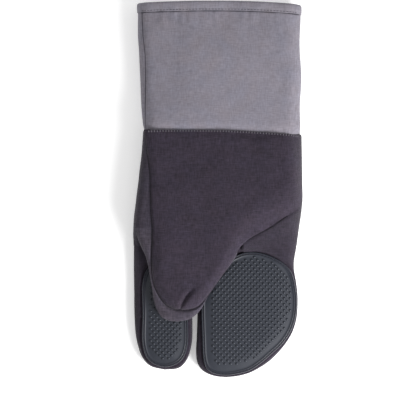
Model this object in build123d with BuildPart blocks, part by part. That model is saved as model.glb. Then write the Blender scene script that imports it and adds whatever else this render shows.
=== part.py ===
from build123d import *
from math import cos, radians, sin
import os

# A long oven mitt for the right hand, lying on its back with the palm up and the fingers towards -Y.
# It has a grey cuff, a dark hand, a thumb that folds over the palm, a lobe for the index finger and
# one for the other three fingers. Every wall is outer cloth, wadding and lining, each a solid.
# Origin: middle of the mitt's box in X and Y, on the surface that it lies on. Millimetres.

os.makedirs("parts", exist_ok=True)

# ---- driving dimensions ----
tip_y = -198.0              # end of the three-finger lobe
mouth_y = 198.0             # end of the cuff
left_x = -89.5              # widest place of the hand, on the index finger's side
lobe_top = 16.0             # thickness of an empty finger lobe
thumb_low = 21.3            # underside of the thumb, above the finger pads
hand_top = 36.3             # top of the thumb and of the hand beside it
cuff_top = 34.0
side_radius = 14.0          # how the hand and the cuff are rounded along their sides

# each layer lies between two depths below the wall's outer face
cloth = (0.0, 1.0)
wadding = (1.1, 3.5)
lining = (3.6, 4.2)
felt = (1.1, 2.2)
cuff_lining_depths = (2.3, 2.9)

# the places where the cloth bends
wrist_y = 68.0
wrist_half_gap = 6.0
knuckle_y = -60.0
knuckle_half_gap = 3.0
crotch_angle = 6.0          # of the crotch line, in degrees clockwise from +X
crotch_left_y = -45.0
thumb_gap = 18.0            # from the crotch line to where the thumb is stiff
fold_play = 0.3             # between a fold and the pieces beside it

# heights of the seams between the palm's cloth and the back's
sleeve_seam_z = 18.0
lobe_seam_z = 12.5
thumb_seam_z = 29.0

# silicone pads
pad_play = 0.1
pad_base = 2.1
ridge_height = 0.5
ridge_width = 1.2
groove_width = 1.2
groove_depth = 0.6
thumb_pad_thickness = 1.8
thumb_pad_margin = 9.5      # from the thumb's rim
thumb_pad_start = 8.0       # past the thumb's fold

# hem and stitches
hem_width = 10.5
hem_cloth = 0.9
stitch_length = 2.6
stitch_pitch = 4.0
thread_radius = 0.25
thread_play = 0.02
row_margin = 1.5            # from a row of stitches to the edge beside it

big = 400.0                 # reach of the tools that only cut

# ---- directions along the crotch line and along the diagonal seam that meets it ----
along_crotch = Vector(cos(radians(crotch_angle)), -sin(radians(crotch_angle)), 0)
past_crotch = Vector(-sin(radians(crotch_angle)), -cos(radians(crotch_angle)), 0)
crotch_left = Vector(left_x, crotch_left_y, 0)
crotch_right = crotch_left + along_crotch * 114.0
seam_far_end = Vector(75.0, -26.0, 0)
along_seam = (seam_far_end - crotch_right).normalized()
below_seam = along_seam.cross(Vector(0, 0, 1))


def crotch_plane(distance):
    """The upright plane along the crotch line, that far towards the thumb's tip."""
    return Plane(crotch_left + past_crotch * distance, x_dir=along_crotch, z_dir=past_crotch)


def level(z):
    return Plane.XY.offset(z)


def upright(y):
    """The plane at y that faces +Y."""
    return Plane((0, y, 0), x_dir=(-1, 0, 0), z_dir=(0, 1, 0))


# ---- forms, each drawn in by inset from the outer face of its wall ----
def sleeve(stations, inset):
    """A tube without ends through rounded sections given as y, left, right, low and top."""
    with BuildPart() as form:
        for y, left, right, low, top in stations:
            with BuildSketch(Plane.XZ.offset(-y)):
                with Locations(((left + right) / 2, (low + top) / 2)):
                    RectangleRounded(right - left - 2 * inset, top - low - 2 * inset, side_radius - inset)
        loft(ruled=True)
    return form.part


def slab(outline, low, top, low_radius, top_radius, inset):
    """The outline's solid from low to top, with its rims rounded."""
    with BuildPart() as form:
        with BuildSketch(level(low + inset)):
            add(outline)
            if inset:
                offset(amount=-inset, mode=Mode.REPLACE)
        extrude(amount=top - low - 2 * inset)
        fillet(form.edges().group_by(Axis.Z)[-1], max(top_radius - inset, 0.5))
        fillet(form.faces().sort_by(Axis.Z)[0].edges(), max(low_radius - inset, 0.5))
    return form.part


# y, left, right, low and top; at the thumb's root, distance past the crotch line, left, right and low
cuff_stations = [(60.0, -78.2, 87.2, 0.0, cuff_top), (200.0, -83.7, 86.0, 1.1, cuff_top + 1.0)]
hand_stations = [
    (75.0, -77.6, 87.2, 0.0, cuff_top),
    (-10.0, -86.5, 89.5, 0.0, cuff_top + 1.5),
    (-80.0, left_x - 1.0, 83.0, 0.0, hand_top),
]
thumb_root_stations = [(-2.0, 1.5, 113.0, lobe_top + 0.4), (thumb_gap + 2, 10.2, 108.0, thumb_low)]


def cuff_form(inset):
    return sleeve(cuff_stations, inset)


def hand_form(inset):
    """The sleeve of the hand, less what lies over the palm: past the crotch and below the seam."""
    tube = sleeve(hand_stations, inset)
    slope_plane = Plane(crotch_right, x_dir=below_seam, z_dir=-along_seam)
    with BuildPart() as over_palm:
        with BuildSketch(slope_plane):
            with BuildLine():
                Polyline((-7, 39.3), (16, lobe_top), (big, lobe_top), (big, 80), (-7, 80), close=True)
            make_face()
            if inset:
                offset(amount=inset, kind=Kind.INTERSECTION, mode=Mode.REPLACE)
        extrude(amount=big, both=True)
    with BuildPart() as past_thumb_root:
        with BuildSketch(crotch_plane(0)):
            with Locations((0, 50 + lobe_top - inset)):
                Rectangle(big * 2, 100)
        extrude(amount=big)
    with BuildPart() as form:
        add(tube)
        add(over_palm.part, mode=Mode.SUBTRACT)
        add(past_thumb_root.part, mode=Mode.SUBTRACT)
    return form.part


with BuildSketch() as index_outline:
    with BuildLine():
        Polyline((left_x, -40), (left_x, -110), (-87, -189.5), (-26.5, -189.5), (-26.5, -40), close=True)
    make_face()
    fillet(vertices().filter_by(lambda v: v.Y < -150), 25)

with BuildSketch() as fingers_outline:
    with BuildLine():
        Polyline((-23.5, -40), (-23.5, tip_y), (40, tip_y), (84.5, -150), (84.5, -40), close=True)
    make_face()
    fillet(vertices().filter_by(lambda v: v.Y < -190 and v.X < 0), 24)
    fillet(vertices().filter_by(lambda v: v.X > 35 and v.Y < -140), 48)

with BuildSketch() as thumb_outline:
    with BuildLine():
        Polyline(
            (-92, -25), (-75.6, -73.5), (-64, -138.4), (-25, -138.4), (-10.9, -112.5), (2.9, -92), (45, -42),
            close=True,
        )
    make_face()
    fillet(vertices().filter_by(lambda v: v.Y < -130 and v.X < -50), 18)
    fillet(vertices().filter_by(lambda v: v.Y < -130 and v.X > -40), 26)


def index_form(inset):
    return slab(index_outline.sketch, 0.0, lobe_top, 7.0, 5.0, inset)


def fingers_form(inset):
    return slab(fingers_outline.sketch, 0.0, lobe_top, 7.0, 5.0, inset)


def thumb_form(inset):
    return slab(thumb_outline.sketch, thumb_low, hand_top, 6.0, 6.5, inset)


def thumb_fold_form(inset):
    """From the crotch, where it meets the palm, to the underside of the thumb."""
    with BuildPart() as form:
        for distance, left, right, low in thumb_root_stations:
            with BuildSketch(crotch_plane(distance)):
                with Locations(((left + right) / 2, (low + hand_top) / 2)):
                    RectangleRounded(right - left - 2 * inset, hand_top - low - 2 * inset, 6 - inset)
        loft(ruled=True)
    return form.part


def layer(form, depths):
    """The part of a form's wall between two depths."""
    with BuildPart() as shell:
        add(form(depths[0]))
        add(form(depths[1]), mode=Mode.SUBTRACT)
    return shell.part


def cut(solid, *planes):
    """What lies on the top side of every plane."""
    with BuildPart() as rest:
        add(solid)
        for plane in planes:
            split(bisect_by=plane, keep=Keep.TOP)
    return rest.part


def facing_back(plane):
    return Plane(plane.origin, x_dir=plane.x_dir, z_dir=-plane.z_dir)


def region(points, low, top):
    """The space over an outline in plan."""
    with BuildPart() as space:
        with BuildSketch(level(low)):
            with BuildLine():
                Polyline(*points, close=True)
            make_face()
        extrude(amount=top - low)
    return space.part


def plan(vector):
    return (vector.X, vector.Y)


# ---- where each form is cut ----
cuff_ends = (upright(wrist_y + wrist_half_gap), facing_back(upright(mouth_y - hem_cloth)))
wrist_fold_ends = (
    upright(wrist_y - wrist_half_gap + fold_play),
    facing_back(upright(wrist_y + wrist_half_gap - fold_play)),
)
hand_ends = (upright(knuckle_y + knuckle_half_gap), facing_back(upright(wrist_y - wrist_half_gap)))
lobe_ends = (facing_back(upright(knuckle_y - knuckle_half_gap)),)
lobe_fold_ends = (
    upright(knuckle_y - knuckle_half_gap + fold_play),
    facing_back(upright(knuckle_y + knuckle_half_gap - fold_play)),
)
thumb_ends = (crotch_plane(thumb_gap),)
thumb_fold_ends = (crotch_plane(fold_play), facing_back(crotch_plane(thumb_gap - fold_play)))

# ---- seams in plan ----
side_seam = [(-78.8, 205), (-76.1, 120), (-75.6, 63), (-70.9, 17), (-69.9, -20), (-68.5, -60)]
front_region = region([*side_seam, (120, -60), (120, 205)], sleeve_seam_z, 60)
palm_region = region(
    [
        plan(crotch_left - along_crotch * 40),
        plan(crotch_right),
        plan(crotch_right + along_seam * 150),
        (150, -150),
        (-150, -150),
    ],
    lobe_seam_z,
    60,
)
thumb_seam = [(-68.5, -44), (-69.9, -73.5), (-68.3, -95.6), (-56, -120), (-46.3, -124.3), (-29.4, -125.4)]
thumb_front_region = region([*thumb_seam, (-8, -119), (60, -60), (60, -44)], thumb_seam_z, 60)

# ---- cuff ----
cuff_cloth = cut(layer(cuff_form, cloth), *cuff_ends)

with BuildPart() as cuff_front_panel:
    add(cuff_cloth)
    add(front_region, mode=Mode.INTERSECT)

with BuildPart() as cuff_back_panel:
    add(cuff_cloth)
    add(front_region, mode=Mode.SUBTRACT)

with BuildPart() as cuff_felt:
    add(cut(layer(cuff_form, felt), *cuff_ends))

with BuildPart() as cuff_lining:
    add(cut(layer(cuff_form, cuff_lining_depths), *cuff_ends))

# the hem goes round the cuff's edge: outside, over the mouth and inside
cuff_depth = cuff_lining_depths[1]
hem_start = upright(mouth_y - hem_width)
hem_end = facing_back(upright(mouth_y))
cuff_edge = facing_back(upright(mouth_y - hem_cloth))
with BuildPart() as hem_binding:
    add(cut(layer(cuff_form, (-hem_cloth, cuff_depth + hem_cloth)), hem_start, hem_end))
    add(cut(layer(cuff_form, (0.0, cuff_depth)), cuff_edge), mode=Mode.SUBTRACT)

# ---- hand ----
hand_cloth = cut(layer(hand_form, cloth), *hand_ends)
hand_wadding = cut(layer(hand_form, wadding), *hand_ends)

with BuildPart() as hand_front_panel:
    add(hand_cloth)
    add(front_region, mode=Mode.INTERSECT)
    add(palm_region, mode=Mode.SUBTRACT)

with BuildPart() as hand_palm_panel:
    add(hand_cloth)
    add(palm_region, mode=Mode.INTERSECT)

with BuildPart() as hand_back_panel:
    add(hand_cloth)
    add(front_region, mode=Mode.SUBTRACT)
    add(palm_region, mode=Mode.SUBTRACT)

with BuildPart() as hand_palm_wadding:
    add(hand_wadding)
    split(bisect_by=level(lobe_top / 2), keep=Keep.TOP)

with BuildPart() as hand_back_wadding:
    add(hand_wadding)
    split(bisect_by=level(lobe_top / 2), keep=Keep.BOTTOM)

with BuildPart() as hand_lining:
    add(cut(layer(hand_form, lining), *hand_ends))

# ---- cloth that bends ----
with BuildPart() as wrist_fold:
    add(cut(layer(cuff_form, cloth), *wrist_fold_ends))

with BuildPart() as thumb_fold:
    add(cut(layer(thumb_fold_form, cloth), *thumb_fold_ends))

with BuildPart() as index_fold:
    add(cut(layer(index_form, cloth), *lobe_fold_ends))

with BuildPart() as fingers_fold:
    add(cut(layer(fingers_form, cloth), *lobe_fold_ends))

# ---- index lobe ----
index_cloth = cut(layer(index_form, cloth), *lobe_ends)

with BuildPart() as index_palm_panel:
    add(index_cloth)
    split(bisect_by=level(lobe_seam_z), keep=Keep.TOP)

with BuildPart() as index_back_panel:
    add(index_cloth)
    split(bisect_by=level(lobe_seam_z), keep=Keep.BOTTOM)

with BuildPart() as index_wadding:
    add(cut(layer(index_form, wadding), *lobe_ends))

with BuildPart() as index_lining:
    add(cut(layer(index_form, lining), *lobe_ends))

# ---- three-finger lobe ----
fingers_cloth = cut(layer(fingers_form, cloth), *lobe_ends)

with BuildPart() as fingers_palm_panel:
    add(fingers_cloth)
    split(bisect_by=level(lobe_seam_z), keep=Keep.TOP)

with BuildPart() as fingers_back_panel:
    add(fingers_cloth)
    split(bisect_by=level(lobe_seam_z), keep=Keep.BOTTOM)

with BuildPart() as fingers_wadding:
    add(cut(layer(fingers_form, wadding), *lobe_ends))

with BuildPart() as fingers_lining:
    add(cut(layer(fingers_form, lining), *lobe_ends))

# ---- thumb ----
thumb_cloth = cut(layer(thumb_form, cloth), *thumb_ends)

with BuildPart() as thumb_outer_panel:
    add(thumb_cloth)
    add(thumb_front_region, mode=Mode.INTERSECT)

with BuildPart() as thumb_inner_panel:
    add(thumb_cloth)
    add(thumb_front_region, mode=Mode.SUBTRACT)

with BuildPart() as thumb_wadding:
    add(cut(layer(thumb_form, wadding), *thumb_ends))

with BuildPart() as thumb_lining:
    add(cut(layer(thumb_form, lining), *thumb_ends))


# ---- silicone pads ----
with BuildSketch() as index_pad_outline:
    with Locations((-56, -130.5)):
        SlotOverall(112, 47.5, rotation=90)

with BuildSketch() as fingers_pad_outline:
    with BuildLine():
        Polyline((-17.5, -98), (-16.5, -195), (36, -195), (83.4, -146), (83.4, -65), (8, -65), close=True)
    make_face()
    fillet(vertices().filter_by(lambda v: v.X < 0 and v.Y < -190), 22)
    fillet(vertices().filter_by(lambda v: v.X > 30 and v.Y < -140), 48)
    fillet(vertices().filter_by(lambda v: v.X > 80 and v.Y > -70), 42)
    fillet(vertices().filter_by(lambda v: v.X < 20 and v.Y > -100), 18)


pad_low = lobe_top + pad_play
pad_top = pad_low + pad_base
groove_start = ridge_width
groove_end = ridge_width + groove_width
inner_ridge_end = groove_end + ridge_width


def ring(outline, outer_inset, inner_inset):
    """The band of an outline between two insets."""
    with BuildSketch() as inner:
        add(outline)
        offset(amount=-inner_inset, mode=Mode.REPLACE)
    with BuildSketch() as band:
        add(outline)
        if outer_inset:
            offset(amount=-outer_inset, mode=Mode.REPLACE)
        add(inner.sketch, mode=Mode.SUBTRACT)
    return band.sketch


def grip_pad(outline):
    """A pad with a rim of two ridges and a groove between them for the thread."""
    rim = ring(outline, 0, inner_ridge_end)
    groove = ring(outline, groove_start, groove_end)
    with BuildPart() as pad:
        with BuildSketch(level(pad_low)):
            add(outline)
        extrude(amount=pad_base)
        with BuildSketch(level(pad_top)):
            add(rim)
        extrude(amount=ridge_height)
        with BuildSketch(level(pad_top - groove_depth)):
            add(groove)
        extrude(amount=groove_depth + ridge_height, mode=Mode.SUBTRACT)
    return pad.part


with BuildPart() as index_pad:
    add(grip_pad(index_pad_outline.sketch))

with BuildPart() as fingers_pad:
    add(grip_pad(fingers_pad_outline.sketch))

with BuildPart() as thumb_pad:
    with BuildSketch(level(thumb_low - pad_play - thumb_pad_thickness)):
        add(thumb_outline.sketch)
        offset(amount=-thumb_pad_margin, mode=Mode.REPLACE)
    extrude(amount=thumb_pad_thickness)
    split(bisect_by=crotch_plane(thumb_gap + thumb_pad_start), keep=Keep.TOP)


# ---- stitches ----
def stitches(wire, z):
    """Threads laid along a closed or open wire at z, one at each pitch."""
    count = int(wire.length / stitch_pitch)
    with BuildPart() as threads:
        for number in range(count):
            middle = (number + 0.5) / count
            place = wire.position_at(middle)
            direction = wire.tangent_at(middle)
            start = Vector(place.X, place.Y, z) - direction * (stitch_length / 2)
            with BuildSketch(Plane(start, z_dir=direction)):
                Circle(thread_radius)
            extrude(amount=stitch_length)
    return threads.part


def groove_middle(outline):
    with BuildSketch() as inside:
        add(outline)
        offset(amount=-(groove_start + groove_end) / 2, mode=Mode.REPLACE)
    return inside.sketch.faces()[0].outer_wire()


groove_thread_z = pad_top - groove_depth + thread_radius + thread_play
with BuildPart() as index_pad_stitching:
    add(stitches(groove_middle(index_pad_outline.sketch), groove_thread_z))

with BuildPart() as fingers_pad_stitching:
    add(stitches(groove_middle(fingers_pad_outline.sketch), groove_thread_z))

hem_row_y = mouth_y - hem_width + row_margin
cuff_rise = (hem_row_y - 60) / 140
hem_row_z = cuff_top + cuff_rise + hem_cloth + thread_radius + thread_play
with BuildPart() as hem_stitching:
    add(stitches(Edge.make_line((-68, hem_row_y, 0), (70, hem_row_y, 0)), hem_row_z))

wrist_row_y = wrist_y - wrist_half_gap - row_margin
hand_rise = 1.5 * (75 - wrist_row_y) / 85
wrist_row_z = cuff_top + hand_rise + thread_radius + thread_play
with BuildPart() as wrist_stitching:
    add(stitches(Edge.make_line((-62, wrist_row_y, 0), (72, wrist_row_y, 0)), wrist_row_z))

pieces = {
    "cuff_front_panel": cuff_front_panel,
    "cuff_back_panel": cuff_back_panel,
    "cuff_felt": cuff_felt,
    "cuff_lining": cuff_lining,
    "hem_binding": hem_binding,
    "hem_stitching": hem_stitching,
    "hand_front_panel": hand_front_panel,
    "hand_palm_panel": hand_palm_panel,
    "hand_back_panel": hand_back_panel,
    "hand_palm_wadding": hand_palm_wadding,
    "hand_back_wadding": hand_back_wadding,
    "hand_lining": hand_lining,
    "wrist_stitching": wrist_stitching,
    "wrist_fold": wrist_fold,
    "thumb_fold": thumb_fold,
    "index_fold": index_fold,
    "fingers_fold": fingers_fold,
    "index_palm_panel": index_palm_panel,
    "index_back_panel": index_back_panel,
    "index_wadding": index_wadding,
    "index_lining": index_lining,
    "index_pad": index_pad,
    "index_pad_stitching": index_pad_stitching,
    "fingers_palm_panel": fingers_palm_panel,
    "fingers_back_panel": fingers_back_panel,
    "fingers_wadding": fingers_wadding,
    "fingers_lining": fingers_lining,
    "fingers_pad": fingers_pad,
    "fingers_pad_stitching": fingers_pad_stitching,
    "thumb_outer_panel": thumb_outer_panel,
    "thumb_inner_panel": thumb_inner_panel,
    "thumb_wadding": thumb_wadding,
    "thumb_lining": thumb_lining,
    "thumb_pad": thumb_pad,
}
for name, piece in pieces.items():
    piece.part.label = name
    export_step(piece.part, f"parts/{name}.step")
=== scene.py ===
import math
import bpy
import numpy as np
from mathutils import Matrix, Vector, noise
from mathutils.kdtree import KDTree


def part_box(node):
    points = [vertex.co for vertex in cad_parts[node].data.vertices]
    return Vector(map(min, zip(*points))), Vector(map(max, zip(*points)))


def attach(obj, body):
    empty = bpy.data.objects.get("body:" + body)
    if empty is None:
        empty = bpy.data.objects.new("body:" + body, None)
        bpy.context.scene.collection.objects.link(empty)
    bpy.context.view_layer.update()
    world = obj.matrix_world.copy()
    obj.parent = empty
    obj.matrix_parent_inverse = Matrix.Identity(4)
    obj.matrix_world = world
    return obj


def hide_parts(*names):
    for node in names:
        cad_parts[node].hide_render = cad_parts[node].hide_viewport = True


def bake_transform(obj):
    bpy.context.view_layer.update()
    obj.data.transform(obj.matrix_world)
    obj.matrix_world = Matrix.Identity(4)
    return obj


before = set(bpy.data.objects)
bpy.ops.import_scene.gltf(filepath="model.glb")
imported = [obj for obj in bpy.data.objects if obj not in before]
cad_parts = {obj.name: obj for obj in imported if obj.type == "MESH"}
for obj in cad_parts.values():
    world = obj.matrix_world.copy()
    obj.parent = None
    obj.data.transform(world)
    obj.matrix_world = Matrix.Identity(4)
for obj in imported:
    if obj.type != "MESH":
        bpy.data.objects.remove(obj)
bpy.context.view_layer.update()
mm = 0.001

# heights and lengths, in millimetres until a mesh is made
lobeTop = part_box("index_palm_panel")[1].z / mm
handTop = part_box("hand_front_panel")[1].z / mm
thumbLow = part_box("thumb_inner_panel")[0].z / mm
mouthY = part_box("hem_binding")[1].y / mm
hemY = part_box("hem_binding")[0].y / mm
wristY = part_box("hand_front_panel")[1].y / mm
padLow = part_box("index_pad")[0].z / mm


# outlines and grids

def curveRun(a, b, c, d, steps):
    # points from b to c on the smooth curve through all four
    bend, twist = 2 * a - 5 * b + 4 * c - d, 3 * b - a - 3 * c + d
    return [0.5 * (2 * b + (c - a) * t + bend * t**2 + twist * t**3) for t in np.arange(steps) / steps]


def smoothLine(points, steps=24):
    # through all the points, ends included
    p = np.array(points, float)
    p = np.vstack([2 * p[0] - p[1], p, 2 * p[-1] - p[-2]])
    out = []
    for i in range(1, len(p) - 2):
        out += curveRun(p[i - 1], p[i], p[i + 1], p[i + 2], steps)
    out.append(p[-2])
    return np.array(out)


def closedCurve(points, steps):
    p = np.array(points, float)
    count = len(p)
    out = []
    for i in range(count):
        out += curveRun(p[i - 1], p[i], p[(i + 1) % count], p[(i + 2) % count], steps)
    return np.array(out)


def sideAt(line, y):
    # x of an open line at each y
    order = np.argsort(line[:, 1], kind="stable")
    return np.interp(y, line[order, 1], line[order, 0])


def distanceTo(line, xy):
    # shortest distance from each point to a line of many short runs
    best = np.full(len(xy), 1e9)
    for start in range(len(line) - 1):
        a, b = line[start], line[start + 1]
        run = b - a
        span = max(float(run @ run), 1e-12)
        t = np.clip(((xy - a) @ run) / span, 0, 1)
        gap = xy - (a + t[:, None] * run)
        best = np.minimum(best, np.hypot(gap[:, 0], gap[:, 1]))
    return best


def insideOf(line, xy):
    # which points a closed line goes round
    inside = np.zeros(len(xy), bool)
    for i in range(len(line)):
        (x1, y1), (x2, y2) = line[i - 1], line[i]
        rowCrossed = (y1 > xy[:, 1]) != (y2 > xy[:, 1])
        inside ^= rowCrossed & (xy[:, 0] < (x2 - x1) * (xy[:, 1] - y1) / (y2 - y1 + 1e-12) + x1)
    return inside


def smoothStep(value):
    t = np.clip(value, 0, 1)
    return t * t * (3 - 2 * t)


def roundedEdge(distance, radius):
    # 0 at the edge, 1 from the radius inwards, along a quarter circle
    q = np.clip(distance / radius, 0, 1)
    return np.sqrt(np.maximum(0, 1 - (1 - q) ** 2))


def ripple(xy, size, seed):
    # smooth noise from -1 to 1, the same on every run
    return np.array([noise.noise(Vector((x / size, y / size, seed))) for x, y in xy])


def gridOver(left, right, rows, columns):
    # a grid of x, y between two side lines, closer together along the sides and towards the tip
    low = max(left[:, 1].min(), right[:, 1].min())
    high = min(left[:, 1].max(), right[:, 1].max())
    v = 1 - np.cos(np.pi / 2 * np.linspace(0, 1, rows))
    y = low + (high - low) * v
    t = np.linspace(0, 1, columns)
    t = 0.25 * t + 0.75 * (0.5 - 0.5 * np.cos(np.pi * t))
    lx, rx = sideAt(left, y), sideAt(right, y)
    x = lx[:, None] + (rx - lx)[:, None] * t[None, :]
    return np.dstack([x, np.repeat(y[:, None], columns, axis=1)])


def meshFrom(name, points, faces):
    # points in millimetres
    mesh = bpy.data.meshes.new(name)
    mesh.from_pydata([tuple(p) for p in np.asarray(points) * mm], [], faces)
    mesh.update()
    piece = bpy.data.objects.new(name, mesh)
    bpy.context.collection.objects.link(piece)
    return piece


def pick(piece):
    bpy.ops.object.select_all(action="DESELECT")
    piece.select_set(True)
    bpy.context.view_layer.objects.active = piece


def tidyMesh(piece, merge=0.02):
    # doubles merged within that many millimetres, faces outwards
    pick(piece)
    bpy.ops.object.mode_set(mode="EDIT")
    bpy.ops.mesh.select_all(action="SELECT")
    bpy.ops.mesh.remove_doubles(threshold=merge * mm)
    bpy.ops.mesh.normals_make_consistent(inside=False)
    bpy.ops.object.mode_set(mode="OBJECT")
    bpy.ops.object.shade_smooth()
    return piece


def remeshed(piece, voxel):
    copy = piece.copy()
    copy.data = piece.data.copy()
    bpy.context.collection.objects.link(copy)
    pick(copy)
    made = copy.modifiers.new("Remesh", "REMESH")
    made.mode = "VOXEL"
    made.voxel_size = voxel * mm
    bpy.ops.object.modifier_apply(modifier=made.name)
    return copy


def closedPillow(name, grid, topOf, lowOf):
    # two grids of the same x, y, joined all round
    rows, columns, _ = grid.shape
    xy = grid.reshape(-1, 2)
    count = rows * columns
    points = np.vstack([np.column_stack([xy, topOf(xy)]), np.column_stack([xy, lowOf(xy)])])
    faces = []
    for r in range(rows - 1):
        for c in range(columns - 1):
            a = r * columns + c
            b, d, e = a + 1, a + columns, a + columns + 1
            faces.append((a, b, e, d))
            faces.append((count + a, count + d, count + e, count + b))
    edge = list(range(columns))
    edge += [r * columns + columns - 1 for r in range(1, rows)]
    edge += [(rows - 1) * columns + c for c in range(columns - 2, -1, -1)]
    edge += [r * columns for r in range(rows - 2, 0, -1)]
    for i, a in enumerate(edge):
        b = edge[(i + 1) % len(edge)]
        faces.append((a, count + a, count + b, b))
    return tidyMesh(meshFrom(name, points, faces))


# padded cloth: a remeshed copy is blown up a little by simulation, and its movement
# is handed back to the piece

puff = {
    "voxel": 4.0,
    "pressure": 4.0,
    "frames": 20,
    "stretch": 20.0,
    "bending": 0.6,
    "most": 1.4,        # how far a point may move
    "nearest": 16,      # how many points of the copy lead one point of the piece
    "blur": 2.0,
}


def puffed(piece, freeOf, voxel=puff["voxel"]):
    # freeOf gives, at each x, y, how freely the cloth may move there, from 0 to 1
    start = np.array([v.co[:] for v in piece.data.vertices])
    copy = remeshed(piece, voxel)
    before = np.array([v.co[:] for v in copy.data.vertices])
    facing = np.array([v.normal[:] for v in copy.data.vertices])
    cloth = copy.modifiers.new("Cloth", "CLOTH")
    cloth.settings.use_pressure = True
    cloth.settings.uniform_pressure_force = puff["pressure"]
    cloth.settings.effector_weights.gravity = 0
    cloth.settings.tension_stiffness = puff["stretch"]
    cloth.settings.compression_stiffness = puff["stretch"]
    cloth.settings.bending_stiffness = puff["bending"]
    cloth.point_cache.frame_end = puff["frames"]
    for number in range(1, puff["frames"] + 1):
        bpy.context.scene.frame_set(number)
    settled = copy.evaluated_get(bpy.context.evaluated_depsgraph_get())
    moved = np.array([v.co[:] for v in settled.data.vertices]) - before
    tree = KDTree(len(before))
    for number, place in enumerate(before):
        tree.insert(place, number)
    tree.balance()
    shift = np.zeros_like(start)
    for number, vertex in enumerate(piece.data.vertices):
        found = tree.find_n(vertex.co, puff["nearest"])
        rows = [index for _, index, _ in found]
        sameSide = np.maximum(facing[rows] @ np.array(vertex.normal[:]), 0.02)     # not the other face
        shares = sameSide**2 / (np.array([gap for _, _, gap in found]) + puff["blur"] * mm) ** 2
        shift[number] = (shares[:, None] * moved[rows]).sum(axis=0) / shares.sum()
    length = np.linalg.norm(shift, axis=1)
    most = puff["most"] * mm
    shift *= (most * np.tanh(length / most) / np.maximum(length, 1e-9))[:, None]
    shift *= freeOf(start[:, :2] / mm)[:, None]
    shift[:, 2] = np.maximum(shift[:, 2], -start[:, 2] + np.minimum(start[:, 2], 0))     # not below the floor
    piece.data.vertices.foreach_set("co", (start + shift).ravel())
    piece.data.update()
    bpy.data.objects.remove(copy)
    bpy.context.scene.frame_set(1)
    print("puffed", piece.name, "by up to", round(float(np.linalg.norm(shift, axis=1).max() / mm), 2), "mm")


# materials

def nodeGroup(name, inputs, outputs):
    group = bpy.data.node_groups.new(name, "ShaderNodeTree")
    for label, kind, value in inputs:
        made = group.interface.new_socket(label, in_out="INPUT", socket_type=kind)
        made.default_value = value
    for label, kind in outputs:
        group.interface.new_socket(label, in_out="OUTPUT", socket_type=kind)
    return group


def noiseNode(tree, place, scale, detail, roughness=0.5):
    made = tree.nodes.new("ShaderNodeTexNoise")
    made.inputs["Scale"].default_value = scale
    made.inputs["Detail"].default_value = detail
    made.inputs["Roughness"].default_value = roughness
    tree.links.new(place, made.inputs["Vector"])
    return made.outputs["Fac"]


def mathNode(tree, operation, *values):
    # each value is a number or another node's output
    made = tree.nodes.new("ShaderNodeMath")
    made.operation = operation
    for number, value in enumerate(values):
        if isinstance(value, float):
            made.inputs[number].default_value = value
        else:
            tree.links.new(value, made.inputs[number])
    return made.outputs["Value"]


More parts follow.
